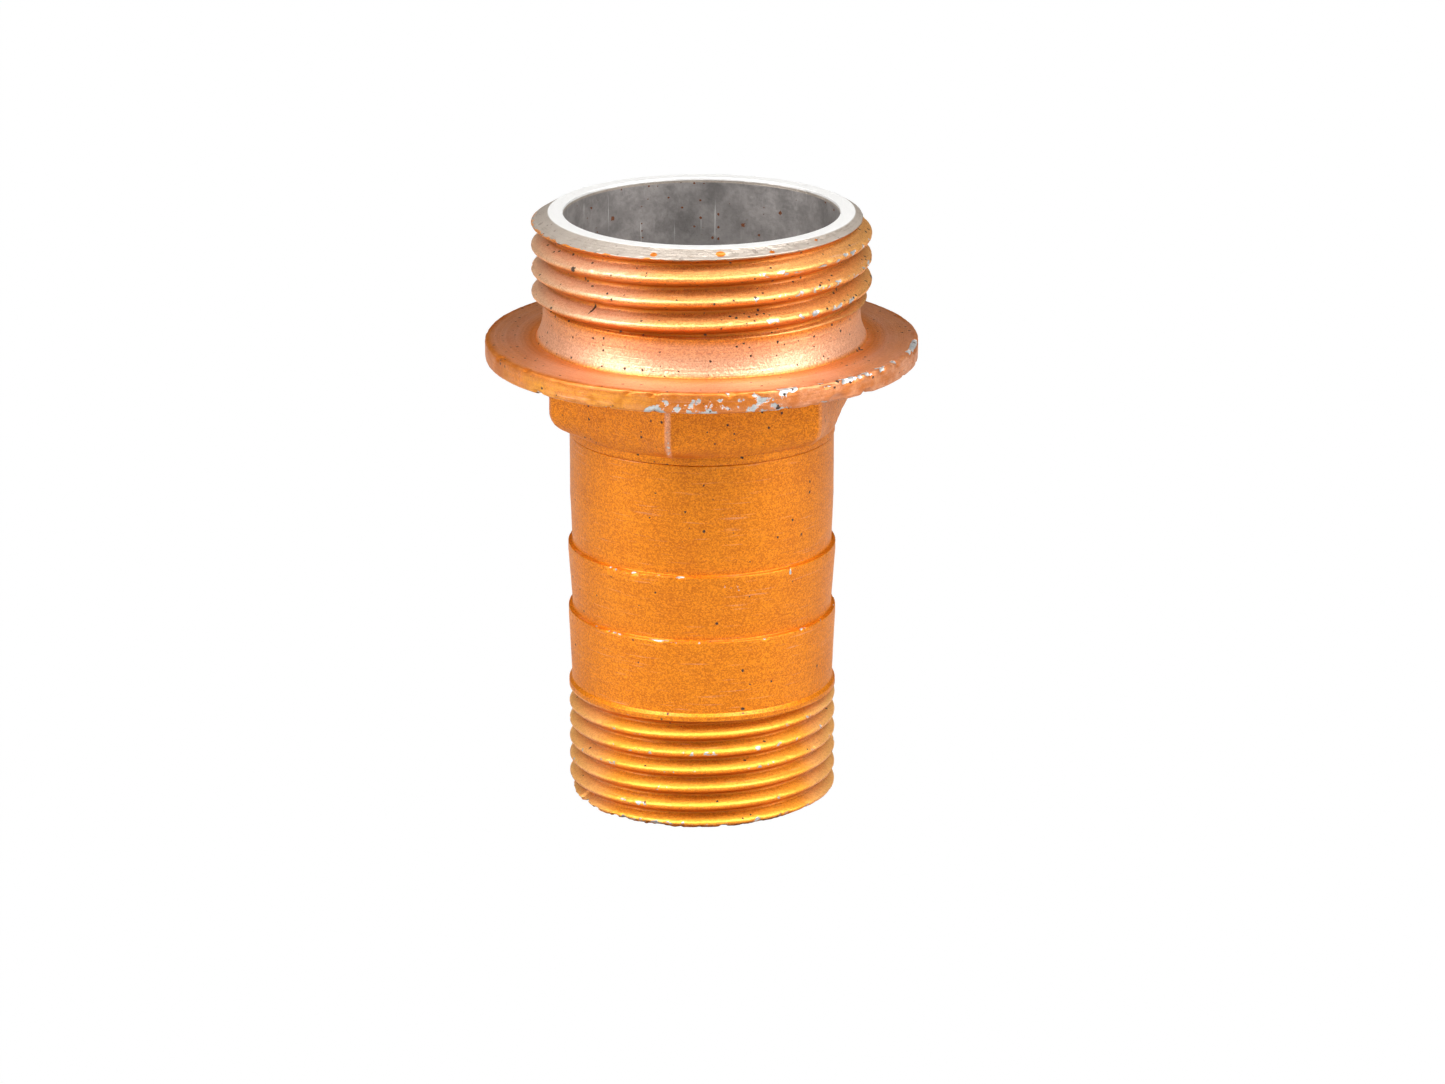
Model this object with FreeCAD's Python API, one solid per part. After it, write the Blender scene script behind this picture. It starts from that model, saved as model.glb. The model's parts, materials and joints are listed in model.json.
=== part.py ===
"""Thru hull fitting, G 1 male thread to hose tail with a G 3/4 male thread at its end.

A turned and cast metal fitting on one axis. From the top down:
  threaded_spigot  male thread, plain neck and flared foot, wide waterway
  flange_ring      round flange whose upper face seals against the hull or a gasket
  hex_collar       27 mm spanner hex above a plain round collar
  hose_tail        two hose barbs under a plain clamp land, then the lower male thread
The four are brazed into one rigid fitting: each has a tenon or a socket inside, and their
faces meet without a gap.

Frame: millimetres, +Z along the waterway towards the spigot, origin at the centre of the
tail's end face, which the fitting stands on. Two flats of the hex face +X and -X.
"""

import os

import FreeCAD
import Part
from math import asin, ceil, cos, degrees, floor, pi, radians, sin, sqrt, tan

# Driving dimensions, millimetres and degrees.
THREAD_HALF_ANGLE = 27.5  # Whitworth form, both threads right hand
DEPTH_PER_PITCH = 0.640327
CREST_FLAT_PER_PITCH = 1 / 6

SPIGOT_PITCH = 2.309  # 11 threads per inch
SPIGOT_MAJOR_R = 16.5
SPIGOT_CREST_Z_AT_X = 49.588  # height of one crest on the +X side
SPIGOT_THREAD_BOTTOM_Z = 50.0
TAIL_PITCH = 1.814  # 14 threads per inch
TAIL_MAJOR_R = 13.12
TAIL_CREST_Z_AT_X = 6.309
TAIL_THREAD_TOP_Z = 11.0

TOP_Z = 58.7
MOUTH_LAND_R = 14.8
MOUTH_CHAMFER_H = 1.01
SPIGOT_BORE_R = 13.4
NECK_R = 15.4
FOOT_R = 16.1
FLARE_H = 2.6

FLANGE_TOP_Z = 46.25
FLANGE_BOTTOM_Z = 44.2
FLANGE_R = 21.1
FLANGE_EDGE_ROUND = 0.35

HEX_ACROSS_FLATS = 27.0
HEX_BOTTOM_Z = 38.0
HEX_CORNER_ROUND = 0.6
HEX_UNDER_ROUND = 1.2
COLLAR_R = 12.98
COLLAR_BOTTOM_Z = 36.8

TAIL_BORE_R = 10.5
CLAMP_LAND_R = 12.9
CLAMP_LAND_BOTTOM_Z = 30.5
BARB_R = 13.12
BARB_Z = (25.65, 19.1)  # heights of the sharp upper edges
BARB_LAND_H = 0.9  # full-size band under each sharp edge
BARB_ROOT_R = 12.7  # at the low end of each taper
TAIL_SHOULDER_Z = 11.8
TAIL_SHOULDER_ROOT_R = 12.82
TAIL_END_CHAMFER = 0.5
BORE_EDGE_CHAMFER = 0.2

TENON_R = 12.2  # tail tenon in the hex collar and the flange
TENON_TOP_Z = 45.2
SKIRT_R = 16.6  # spigot skirt in the flange's counterbore, just outside the thread crests
SKIRT_BOTTOM_Z = 45.4

# Worked out from the above. The waterway widens from the tail's bore to the spigot's on a
# 45 degree cone.
CONE_BOTTOM_Z = FLANGE_BOTTOM_Z
CONE_TOP_Z = CONE_BOTTOM_Z + SPIGOT_BORE_R - TAIL_BORE_R
GROOVE_CLEARANCE = 0.15  # how far a thread cutter stands outside the crests


def cone_r(z):
    """Radius of the waterway's cone at height z."""
    return TAIL_BORE_R + z - CONE_BOTTOM_Z


def point(r, z):
    return FreeCAD.Vector(r, 0, z)


def line(start, end):
    return Part.makeLine(point(*start), point(*end))


def arc(start, middle, end):
    return Part.Arc(point(*start), point(*middle), point(*end)).toShape()


def revolved(edges):
    """A full turn about Z of the closed outline made by these edges in the XZ plane."""
    face = Part.Face(Part.Wire(Part.__sortEdges__(edges)))
    return face.revolve(FreeCAD.Vector(0, 0, 0), FreeCAD.Vector(0, 0, 1), 360)


def path(corners):
    """Straight edges along an open list of (radius, height) corners."""
    return [line(a, b) for a, b in zip(corners, corners[1:])]


def outline(corners):
    """Straight edges all the way round a list of (radius, height) corners."""
    return path(corners + corners[:1])


def arc_about(centre, radius, from_deg, to_deg):
    """An arc about centre, its angles measured from +radius towards +Z."""

    def at(deg):
        return (centre[0] + radius * cos(radians(deg)), centre[1] + radius * sin(radians(deg)))

    return arc(at(from_deg), at((from_deg + to_deg) / 2), at(to_deg))


def with_thread(blank, major_r, pitch, crest_z_at_x, low_z, high_z):
    """The blank with a right-hand thread cut into it between two heights, turn by turn."""
    root_r = major_r - DEPTH_PER_PITCH * pitch
    root_half = pitch * CREST_FLAT_PER_PITCH / 2
    out_r = major_r + GROOVE_CLEARANCE
    out_half = root_half + (out_r - root_r) * tan(radians(THREAD_HALF_ANGLE))
    corners = [(root_r, -root_half), (out_r, -out_half), (out_r, out_half), (root_r, root_half)]
    groove = Part.Wire(outline(corners))
    one_turn = Part.Wire(Part.makeHelix(pitch, pitch, root_r)).makePipeShell([groove], True, True)
    band = Part.makeCylinder(2 * major_r, high_z - low_z, FreeCAD.Vector(0, 0, low_z))

    root_z_at_x = crest_z_at_x + pitch / 2
    first = floor((low_z - root_z_at_x) / pitch) - 1
    last = ceil((high_z - root_z_at_x) / pitch)
    for turn in range(first, last + 1):
        cutter = one_turn.translated(FreeCAD.Vector(0, 0, root_z_at_x + turn * pitch))
        cutter = cutter.common(band)
        if cutter.Solids:
            blank = blank.cut(cutter)
    return blank


def threaded_spigot():
    """The upper male thread on its neck, with a skirt that locates it in the flange."""
    neck_low_z = FLANGE_TOP_Z + FLARE_H
    flare_out = FOOT_R - NECK_R
    flare_r = (flare_out**2 + FLARE_H**2) / (2 * flare_out)  # tangent to the neck
    flare_turn = degrees(asin(FLARE_H / flare_r))
    edges = path(
        [
            (FOOT_R, FLANGE_TOP_Z),
            (SKIRT_R, FLANGE_TOP_Z),
            (SKIRT_R, SKIRT_BOTTOM_Z),
            (cone_r(SKIRT_BOTTOM_Z), SKIRT_BOTTOM_Z),
            (SPIGOT_BORE_R, CONE_TOP_Z),
            (SPIGOT_BORE_R, TOP_Z),
            (MOUTH_LAND_R, TOP_Z),
            (SPIGOT_MAJOR_R, TOP_Z - MOUTH_CHAMFER_H),
            (SPIGOT_MAJOR_R, SPIGOT_THREAD_BOTTOM_Z),
            (NECK_R, SPIGOT_THREAD_BOTTOM_Z),
            (NECK_R, neck_low_z),
        ]
    )
    edges.append(arc_about((NECK_R + flare_r, neck_low_z), flare_r, 180, 180 + flare_turn))
    return with_thread(
        revolved(edges),
        SPIGOT_MAJOR_R,
        SPIGOT_PITCH,
        SPIGOT_CREST_Z_AT_X,
        SPIGOT_THREAD_BOTTOM_Z,
        TOP_Z + 1,
    )


def flange_ring():
    """The flange, with a counterbore for the spigot's skirt and a hole for the tail's tenon."""
    e = FLANGE_EDGE_ROUND
    edges = path(
        [
            (FLANGE_R - e, FLANGE_TOP_Z),
            (SKIRT_R, FLANGE_TOP_Z),
            (SKIRT_R, SKIRT_BOTTOM_Z),
            (cone_r(SKIRT_BOTTOM_Z), SKIRT_BOTTOM_Z),
            (cone_r(TENON_TOP_Z), TENON_TOP_Z),
            (TENON_R, TENON_TOP_Z),
            (TENON_R, FLANGE_BOTTOM_Z),
            (FLANGE_R - e, FLANGE_BOTTOM_Z),
        ]
    )
    edges.append(arc_about((FLANGE_R - e, FLANGE_BOTTOM_Z + e), e, -90, 0))
    edges.append(line((FLANGE_R, FLANGE_BOTTOM_Z + e), (FLANGE_R, FLANGE_TOP_Z - e)))
    edges.append(arc_about((FLANGE_R - e, FLANGE_TOP_Z - e), e, 0, 90))
    return revolved(edges)


def hexagon(z):
    """A hexagon wire at height z with corners on +Y and -Y, so two flats face +X and -X."""
    corner_r = HEX_ACROSS_FLATS / sqrt(3)
    corners = [
        FreeCAD.Vector(corner_r * cos(pi / 2 + k * pi / 3), corner_r * sin(pi / 2 + k * pi / 3), z)
        for k in range(6)
    ]
    return Part.makePolygon(corners + corners[:1])


def hex_collar():
    """The spanner hex, its lower edge rounded, on a round collar that holds the tail's tenon."""
    height = FLANGE_BOTTOM_Z - HEX_BOTTOM_Z
    prism = Part.Face(hexagon(HEX_BOTTOM_Z)).extrude(FreeCAD.Vector(0, 0, height))
    upright = [e for e in prism.Edges if abs(e.Length - height) < 1e-6 and is_upright(e)]
    prism = prism.makeFillet(HEX_CORNER_ROUND, upright)
    under = [e for e in prism.Edges if e.BoundBox.ZMax < HEX_BOTTOM_Z + 1e-6]
    prism = prism.makeFillet(HEX_UNDER_ROUND, under)
    collar = Part.makeCylinder(
        COLLAR_R, FLANGE_BOTTOM_Z - COLLAR_BOTTOM_Z, FreeCAD.Vector(0, 0, COLLAR_BOTTOM_Z)
    )
    socket = Part.makeCylinder(TENON_R, FLANGE_BOTTOM_Z, FreeCAD.Vector(0, 0, COLLAR_BOTTOM_Z - 1))
    return prism.fuse(collar).cut(socket).removeSplitter()


def is_upright(edge):
    return abs(edge.Vertexes[0].X - edge.Vertexes[1].X) < 1e-6 and (
        abs(edge.Vertexes[0].Y - edge.Vertexes[1].Y) < 1e-6
    )


def hose_tail():
    """The barbed tube with its lower thread, and the tenon that the hex and flange sit on."""
    corners = [
        (TAIL_BORE_R + BORE_EDGE_CHAMFER, 0),
        (TAIL_MAJOR_R - TAIL_END_CHAMFER, 0),
        (TAIL_MAJOR_R, TAIL_END_CHAMFER),
        (TAIL_MAJOR_R, TAIL_SHOULDER_Z - (TAIL_MAJOR_R - TAIL_SHOULDER_ROOT_R)),
        (TAIL_SHOULDER_ROOT_R, TAIL_SHOULDER_Z),
    ]
    for barb_z in reversed(BARB_Z):
        corners += [(BARB_R, barb_z - BARB_LAND_H), (BARB_R, barb_z), (BARB_ROOT_R, barb_z)]
    corners += [
        (CLAMP_LAND_R, CLAMP_LAND_BOTTOM_Z),
        (CLAMP_LAND_R, COLLAR_BOTTOM_Z),
        (TENON_R, COLLAR_BOTTOM_Z),
        (TENON_R, TENON_TOP_Z),
        (cone_r(TENON_TOP_Z), TENON_TOP_Z),
        (TAIL_BORE_R, CONE_BOTTOM_Z),
        (TAIL_BORE_R, BORE_EDGE_CHAMFER),
    ]
    return with_thread(
        revolved(outline(corners)),
        TAIL_MAJOR_R,
        TAIL_PITCH,
        TAIL_CREST_Z_AT_X,
        -1,
        TAIL_THREAD_TOP_Z,
    )


PARTS = {
    "threaded_spigot": threaded_spigot,
    "flange_ring": flange_ring,
    "hex_collar": hex_collar,
    "hose_tail": hose_tail,
}


def main():
    os.makedirs("parts", exist_ok=True)
    for name, make in PARTS.items():
        shape = make()
        solids = shape.Solids
        print(name, "solids", len(solids), "valid", shape.isValid(), "volume", round(shape.Volume, 1))
        whole = solids[0] if len(solids) == 1 else Part.makeCompound(solids)
        whole.exportStep(f"parts/{name}.step")


main()
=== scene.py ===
"""Looks for the thru hull fitting: its four pieces remade as fine meshes with real threads,
worn edges, dents and casting roughness, and a metallic bronze-gold coat worn to bare metal.

Lengths in the modelling code are millimetres and become metres when a mesh is made. Angles
round the fitting are degrees from +X towards +Y in the CAD frame.
"""

import json
import math

import bpy
import numpy as np
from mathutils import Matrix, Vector


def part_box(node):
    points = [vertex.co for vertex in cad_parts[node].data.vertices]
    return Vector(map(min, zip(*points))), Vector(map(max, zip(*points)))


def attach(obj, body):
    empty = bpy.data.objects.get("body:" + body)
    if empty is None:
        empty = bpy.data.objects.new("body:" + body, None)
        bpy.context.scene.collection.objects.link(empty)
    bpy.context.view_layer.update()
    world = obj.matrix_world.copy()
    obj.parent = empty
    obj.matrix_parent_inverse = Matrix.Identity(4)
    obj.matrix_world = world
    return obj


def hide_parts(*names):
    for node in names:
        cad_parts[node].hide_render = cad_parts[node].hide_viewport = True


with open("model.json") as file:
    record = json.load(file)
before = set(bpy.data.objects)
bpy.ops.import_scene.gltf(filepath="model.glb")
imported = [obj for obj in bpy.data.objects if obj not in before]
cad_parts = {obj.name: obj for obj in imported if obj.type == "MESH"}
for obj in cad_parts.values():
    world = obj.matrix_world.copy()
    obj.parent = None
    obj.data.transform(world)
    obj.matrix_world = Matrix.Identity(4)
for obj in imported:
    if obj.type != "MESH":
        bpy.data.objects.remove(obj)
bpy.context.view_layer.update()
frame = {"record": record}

MM = 0.001
STEPS_ROUND = 540  # mesh columns round the axis
THETA = np.arange(STEPS_ROUND) * 2 * np.pi / STEPS_ROUND

# Levels and sizes that the CAD boxes give.
SPIGOT_LOW, SPIGOT_HIGH = (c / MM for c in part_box("threaded_spigot"))
FLANGE_LOW, FLANGE_HIGH = (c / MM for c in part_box("flange_ring"))
HEX_LOW, HEX_HIGH = (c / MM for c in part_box("hex_collar"))
TAIL_LOW, TAIL_HIGH = (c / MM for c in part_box("hose_tail"))
TOP_Z = SPIGOT_HIGH.z
FLANGE_TOP_Z = FLANGE_HIGH.z
FLANGE_BOTTOM_Z = FLANGE_LOW.z
FLANGE_R = 21.08  # a hair inside the CAD's rim
HEX_HALF_FLATS = HEX_HIGH.x
COLLAR_BOTTOM_Z = HEX_LOW.z
TENON_TOP_Z = TAIL_HIGH.z
SKIRT_BOTTOM_Z = SPIGOT_LOW.z
MOUNTS = {m["name"]: m for m in frame["record"]["mounts"]}
SPIGOT_BORE_R = MOUNTS["spigot_bore"]["dims"]["r_mm"]
TAIL_BORE_R = MOUNTS["tail_bore"]["dims"]["r_mm"]

# Shape details. A thread's crest_z is the height of one crest where THETA is 0.
WHITWORTH_DEPTH = 0.640327  # in pitches, as is the next one
WHITWORTH_ROUND_R = 0.137329
WHITWORTH_HALF_ANGLE = math.radians(27.5)
SPIGOT_THREAD = {"major_r": 16.5, "pitch": 2.309, "crest_z": 49.588, "low_z": 50.0}
SPIGOT_ROOT_R = 15.02
TAIL_THREAD = {"major_r": 13.11, "pitch": 1.814, "crest_z": 6.309, "high_z": 11.0}
THREAD_SPACING = 0.085  # mm between mesh rows on a thread or a rim
MOUTH_LAND_R = 14.8
MOUTH_CHAMFER_H = 1.01
NECK_R = 15.4
FOOT_R = 16.1
FLARE_H = 2.6
PLUG_R = 16.0  # the spigot's part inside the flange
TENON_R = 12.2
COLLAR_R = 12.98
HEX_BOTTOM_Z = 37.6
HEX_SHARPNESS = 220.0  # a higher number gives sharper corners
FRONT_CORNER = -90  # degrees of the hex corner nearest the camera
CLAMP_LAND_R = 12.9
CLAMP_LAND_LOW_Z = 30.5
BARB_R = 13.11
BARB_ROOT_R = 12.7
BARB_Z = (25.65, 19.1)
BARB_LIP = 0.9  # height of the straight lip under a barb's edge
SHOULDER_Z = 11.8
SHOULDER_ROOT_R = 12.82

# Marks on the spigot: degrees right of the camera's side, height, half width, half height.
CHAMFER_PAINT = (
    (6.9, 58.30, 0.55, 0.22),
    (-16.6, 58.18, 0.40, 0.17),
    (25.5, 58.2, 0.32, 0.12),
    (46, 58.45, 0.25, 0.1),
)
# Each dirt mark starts with its strength.
SPIGOT_DIRT = (
    (0.62, 27, 57.6, 0.4, 0.2),
    (0.66, -47, 54.6, 0.3, 0.3),
    (0.66, -42, 51.9, 0.25, 0.6),
)

CAMERA_AZIMUTH = 12.07
CAMERA_ELEVATION = 17.03
CAMERA_DISTANCE = 623.5
CAMERA_AIM_Z = 25.25
CAMERA_AIM_RIGHT = 2.02
CAMERA_LENS = 158.46


def facing(degrees_right):
    """The angle round the fitting of what is that far right of the side facing the camera."""
    return CAMERA_AZIMUTH - 90 + degrees_right


# ---------------------------------------------------------------- shape helpers


def smooth(low, high, value):
    """0 up to low, 1 from high on, and an S-curve between."""
    t = np.clip((value - low) / (high - low), 0, 1)
    return t * t * (3 - 2 * t)


def lumps(points, size, seed):
    """Smooth noise from -1 to 1 at the points, with features about size mm across."""
    rng = np.random.default_rng(seed)
    p = points / size
    low = np.floor(p.reshape(-1, 3).min(0)).astype(int)
    count = np.floor(p.reshape(-1, 3).max(0)).astype(int) - low + 2
    lattice = rng.uniform(-1, 1, count)
    cell = np.floor(p).astype(int) - low
    f = p - np.floor(p)
    f = f * f * (3 - 2 * f)
    total = np.zeros(points.shape[:-1])
    for dx in (0, 1):
        for dy in (0, 1):
            for dz in (0, 1):
                weight = np.ones(points.shape[:-1])
                for axis, d in enumerate((dx, dy, dz)):
                    weight = weight * (f[..., axis] if d else 1 - f[..., axis])
                total += weight * lattice[cell[..., 0] + dx, cell[..., 1] + dy, cell[..., 2] + dz]
    return total


def rows_of(corners, spacing):
    """Points along a line of (r, z) corners, none further apart than spacing mm.

    A corner may be (r, z, radius) to be rounded, and spacing may differ between runs.
    """
    pts = []
    n = len(corners)
    for i, corner in enumerate(corners):
        here = np.array(corner[:2], float)
        radius = corner[2] if len(corner) > 2 else 0
        if not radius or i in (0, n - 1):
            pts.append(here)
            continue
        before = np.array(corners[i - 1][:2], float) - here
        after = np.array(corners[i + 1][:2], float) - here
        a, b = before / np.linalg.norm(before), after / np.linalg.norm(after)
        half = math.acos(np.clip(a @ b, -1, 1)) / 2
        run = min(radius / math.tan(half), np.linalg.norm(before) * 0.49, np.linalg.norm(after) * 0.49)
        start, end = here + a * run, here + b * run
        for t in np.linspace(0, 1, 6):
            pts.append((1 - t) ** 2 * start + 2 * t * (1 - t) * here + t**2 * end)
    out = [pts[0]]
    for p, q in zip(pts, pts[1:]):
        steps = max(1, math.ceil(np.linalg.norm(q - p) / spacing))
        out += [p + (q - p) * k / steps for k in range(1, steps + 1)]
    return np.array(out)


def grid_of(rows):
    """Row profile (n, 2) spread round the axis: r and z arrays of (rows, columns)."""
    r = np.repeat(rows[:, :1], STEPS_ROUND, axis=1)
    z = np.repeat(rows[:, 1:], STEPS_ROUND, axis=1)
    return r, z


def points_of(r, z):
    """The x, y, z of every mesh point."""
    return np.stack([r * np.cos(THETA), r * np.sin(THETA), z], axis=-1)


def thread_profile(u):
    """Height over the root, in pitches, of a Whitworth thread at u pitches from a crest."""
    round_r, depth, half_angle = WHITWORTH_ROUND_R, WHITWORTH_DEPTH, WHITWORTH_HALF_ANGLE
    tangent_u = round_r * math.cos(half_angle)
    u = np.abs((u + 0.5) % 1 - 0.5)
    crest = depth - round_r + np.sqrt(np.maximum(round_r**2 - u**2, 0))
    root = round_r - np.sqrt(np.maximum(round_r**2 - (0.5 - u) ** 2, 0))
    at_tangent = depth - round_r + round_r * math.sin(half_angle)
    flank = at_tangent - (u - tangent_u) / math.tan(half_angle)
    return np.where(u < tangent_u, crest, np.where(u > 0.5 - tangent_u, root, flank))


def thread_r(z, spec):
    """A right-hand thread at height z in each column: its radius there, its height over the root
    from 0 to 1, and how many pitches above the nearest crest that point is.
    """
    u = (z - spec["crest_z"]) / spec["pitch"] - THETA / (2 * np.pi)
    height = thread_profile(u)
    root_r = spec["major_r"] - WHITWORTH_DEPTH * spec["pitch"]
    return root_r + height * spec["pitch"], height / WHITWORTH_DEPTH, (u + 0.5) % 1 - 0.5


def flanks(above):
    """Which points are on a thread's upper flank and which on its lower flank or at its root."""
    upper = smooth(-0.10, 0.10, above) * (1 - smooth(0.34, 0.46, above))
    under = (1 - smooth(-0.24, -0.06, above)) + smooth(0.42, 0.5, above)
    return upper, under


def spot(z, at_deg, at_z, half_width, half_height, r=16.0):
    """A soft-edged patch, 1 at its middle, half_width mm round the axis by half_height mm."""
    away = (THETA - math.radians(at_deg) + np.pi) % (2 * np.pi) - np.pi
    d = np.sqrt((away * r / half_width) ** 2 + ((z - at_z) / half_height) ** 2)
    return 1 - smooth(0.6, 1.25, d)


def window(from_deg, to_deg, soft_deg):
    """1 in the columns between two angles, fading out over soft_deg."""
    middle = math.radians((from_deg + to_deg) / 2)
    half = math.radians((to_deg - from_deg) / 2)
    away = np.abs((THETA - middle + np.pi) % (2 * np.pi) - np.pi)
    return 1 - smooth(half, half + math.radians(soft_deg), away)


def camera_side(from_right, to_right, soft_deg):
    """The same, with the angles counted right of the side facing the camera."""
    return window(facing(from_right), facing(to_right), soft_deg)


def make_piece(name, r, z, materials, replaces, fields, split=None):
    """A closed ring of quads from (rows, columns) arrays, the last row joined to the first.

    fields are values from 0 to 1 for the materials, and split is a material number for each row.
    """
    rows, columns = r.shape
    verts = (points_of(r, z) * MM).reshape(-1, 3)
    i = np.arange(rows)[:, None] * columns
    j = np.arange(columns)[None, :]
    up = (np.arange(rows)[:, None] + 1) % rows * columns
    right = (j + 1) % columns
    quads = np.stack([i + j, i + right, up + right, up + j], axis=-1).reshape(-1, 4)
    mesh = bpy.data.meshes.new(name)
    mesh.vertices.add(len(verts))
    mesh.vertices.foreach_set("co", verts.astype(np.float32).ravel())
    mesh.loops.add(quads.size)
    mesh.loops.foreach_set("vertex_index", quads.astype(np.int32).ravel())
    mesh.polygons.add(len(quads))
    mesh.polygons.foreach_set("loop_start", np.arange(0, quads.size, 4, dtype=np.int32))
    if split is not None:
        mesh.polygons.foreach_set("material_index", np.repeat(split, columns).astype(np.int32))
    for material in materials:
        mesh.materials.append(material)
    for field, values in fields.items():
        layer = mesh.attributes.new(field, "FLOAT", "POINT")
        layer.data.foreach_set("value", np.clip(values, 0, 1).astype(np.float32).ravel())
    mesh.update(calc_edges=True)
    mesh.polygons.foreach_set("use_smooth", np.ones(len(quads), bool))
    mesh.validate()
    piece = bpy.data.objects.new(name, mesh)
    bpy.context.scene.collection.objects.link(piece)
    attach(piece, "root")
    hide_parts(replaces)


# ---------------------------------------------------------------- materials


class Nodes:
    """Short calls for building one material's node tree."""

    def __init__(self, name):
        self.material = bpy.data.materials.new(name)
        self.material.use_nodes = True
        self.tree = self.material.node_tree
        self.shader = self.tree.nodes["Principled BSDF"]
        coords = self.tree.nodes.new("ShaderNodeTexCoord")
        self.place = coords.outputs["Object"]
        xyz = self.tree.nodes.new("ShaderNodeSeparateXYZ")
        self.link(self.place, xyz.inputs[0])
        squares = self.plus(self.square(xyz.outputs[0]), self.square(xyz.outputs[1]))
        across = self.math("SQRT", squares)
        turned = self.tree.nodes.new("ShaderNodeCombineXYZ")
        self.link(across, turned.inputs[0])
        self.link(xyz.outputs[2], turned.inputs[1])
        self.link(self.times(xyz.outputs[0], 0.01), turned.inputs[2])
        self.turned = turned.outputs[0]  # nearly the same all round the axis, to draw turning marks

    def link(self, source, target):
        self.tree.links.new(source, target)

    def feed(self, value, target):
        if isinstance(value, bpy.types.NodeSocket):
            self.link(value, target)
        else:
            target.default_value = value

    def math(self, operation, a, b=0.0, clamp=False):
        node = self.tree.nodes.new("ShaderNodeMath")
        node.operation = operation
        node.use_clamp = clamp
        self.feed(a, node.inputs[0])
        self.feed(b, node.inputs[1])
        return node.outputs[0]

    def plus(self, a, b):
        return self.math("ADD", a, b)

    def minus(self, a, b):
        return self.math("SUBTRACT", a, b)

    def times(self, a, b):
        return self.math("MULTIPLY", a, b)

    def larger(self, a, b):
        return self.math("MAXIMUM", a, b)

    def square(self, value):
        return self.times(value, value)

    def swing(self, value, size):
        """A value from 0 to 1 moved to run from -size / 2 to size / 2."""
        return self.times(self.minus(value, 0.5), size)

    def noise(self, scale, detail, vector=None, roughness=0.5):
        node = self.tree.nodes.new("ShaderNodeTexNoise")
        self.link(vector or self.place, node.inputs["Vector"])
        node.inputs["Scale"].default_value = scale
        node.inputs["Detail"].default_value = detail
        node.inputs["Roughness"].default_value = roughness
        return node.outputs["Fac"]

    def stretched(self, across, along):
        """The place, scaled apart across the axis and along it, for streaks."""
        node = self.tree.nodes.new("ShaderNodeMapping")
        node.inputs["Scale"].default_value = (across, across, along)
        self.link(self.place, node.inputs["Vector"])
        return node.outputs[0]

    def cells(self, scale):
        """Distance to the nearest cell point, and a random value for the cell."""
        node = self.tree.nodes.new("ShaderNodeTexVoronoi")
        self.link(self.place, node.inputs["Vector"])
        node.inputs["Scale"].default_value = scale
        split = self.tree.nodes.new("ShaderNodeSeparateColor")
        self.link(node.outputs["Color"], split.inputs[0])
        return node.outputs["Distance"], split.outputs[0]

    def ramp(self, value, low, high, to_low=0.0, to_high=1.0):
        node = self.tree.nodes.new("ShaderNodeMapRange")
        node.interpolation_type = "SMOOTHSTEP"
        self.feed(value, node.inputs["Value"])
        node.inputs["From Min"].default_value = low
        node.inputs["From Max"].default_value = high
        node.inputs["To Min"].default_value = to_low
        node.inputs["To Max"].default_value = to_high
        return node.outputs["Result"]

    def mix(self, factor, a, b):
        node = self.tree.nodes.new("ShaderNodeMix")
        node.data_type = "RGBA"
        self.feed(factor, node.inputs["Factor"])
        self.feed(a if isinstance(a, bpy.types.NodeSocket) else (*a, 1), node.inputs["A"])
        self.feed(b if isinstance(b, bpy.types.NodeSocket) else (*b, 1), node.inputs["B"])
        return node.outputs["Result"]

    def field(self, name):
        node = self.tree.nodes.new("ShaderNodeAttribute")
        node.attribute_name = name
        return node.outputs["Fac"]

    def bump(self, height, distance):
        node = self.tree.nodes.new("ShaderNodeBump")
        node.inputs["Distance"].default_value = distance
        self.link(height, node.inputs["Height"])
        self.link(node.outputs[0], self.shader.inputs["Normal"])

    def pits(self, scale, share, size):
        """1 inside scattered specks: share of the cells hold one, up to size cells in radius."""
        distance, chance = self.cells(scale)
        radius = self.ramp(chance, 1 - share, 1.0, 0.0, size)
        uneven = self.swing(self.noise(scale * 4, 2), 0.35)
        return self.ramp(self.minus(radius, self.plus(distance, uneven)), 0.0, 0.02)


PAINT_LIGHT = (0.90, 0.31, 0.007)
PAINT_DEEP = (0.55, 0.13, 0.0013)
# Painted shade on lower thread flanks, roots, the hex's foot and the flange, also used for deeper paint
# on a few patches.
PAINT_SHADE_AND_DEEP = (0.52, 0.13, 0.003)
PAINT_THIN = (0.72, 0.42, 0.31)
# Pale colour for rubbed paint and scratches, and for painted pale reflections and highlights.
PAINT_RUBBED_AND_SHEEN = (0.93, 0.74, 0.64)
# Colours of painted highlights: the spigot's upper thread flanks and flared neck, the tail's upper thread
# flanks, and the left of the flange's rim.
FLANK_HIGHLIGHT_PALE = (0.92, 0.52, 0.18)
FLANK_HIGHLIGHT_YELLOW = (1.0, 0.50, 0.055)
RIM_HIGHLIGHT_GOLD = (0.95, 0.48, 0.05)
# Bare metal of the mouth land, lightened to near white as a painted highlight on that up-facing ring.
LAND_BARE_HIGHLIGHT = (0.93, 0.92, 0.90)
BARE_LIGHT = (0.44, 0.38, 0.325)
BARE_DULL = (0.29, 0.235, 0.19)
CHIP_DARK = (0.30, 0.31, 0.31)
CHIP_LIGHT = (0.62, 0.63, 0.62)
PIT = (0.05, 0.026, 0.014)
BORE_DARK = (0.25, 0.235, 0.225)
BORE_LIGHT = (0.43, 0.40, 0.385)
SCRATCH = (0.8, 0.8, 0.78)
RUST = (0.16, 0.055, 0.025)
COAT_RELIEF = 0.00004  # metres, how deep the bump of the coat and of the bore is
BORE_RELIEF = 0.00003


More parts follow.
